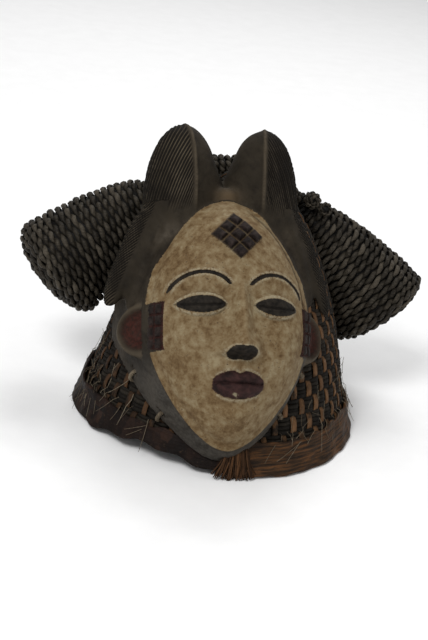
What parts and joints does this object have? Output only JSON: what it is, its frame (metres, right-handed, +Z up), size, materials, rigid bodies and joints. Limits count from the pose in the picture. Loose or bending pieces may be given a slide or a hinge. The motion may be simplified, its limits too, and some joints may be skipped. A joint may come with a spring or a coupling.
{
  "type": "helmet mask",
  "caption": "Carved wooden face mask with a lobed coiffure, laced to the front of a bell-shaped woven hood with a wicker bun hanging at each side.",
  "frame": {"origin": "under the middle of the whole, on the plane that the hood's rim stands on", "axes": "+Z up; the face looks toward -Y; +X is toward the viewer's right, where the larger bun hangs"},
  "size_m": [0.369, 0.2644, 0.252],
  "materials": {
    "carved_wood": "light wood with a worn cream clay ground on the face, dark stain on the hair and cheeks",
    "hood_wicker": "dark twined plant fibre over flat orange-brown splints, matt",
    "hide_binding": "stiff dark brown hide, matt and worn",
    "bun_wicker": "blackened twined plant fibre with a dull sheen on the strands",
    "raffia": "orange-brown raffia fibre, matt",
    "lacing_cord": "pale plant-fibre cord, matt"
  },
  "bodies": {
    "root": {"carved_mask": "carved_wood", "woven_hood": "hood_wicker", "rim_binding": "hide_binding", "crown_bar": "bun_wicker", "left_bun": "bun_wicker", "right_bun": "bun_wicker", "upper_knot": "bun_wicker", "lower_knot": "bun_wicker", "raffia_tuft": "raffia", "lacing_left_upper": "lacing_cord", "lacing_left_lower": "lacing_cord", "lacing_right_upper": "lacing_cord", "lacing_right_lower": "lacing_cord"}
  },
  "joints": []
}
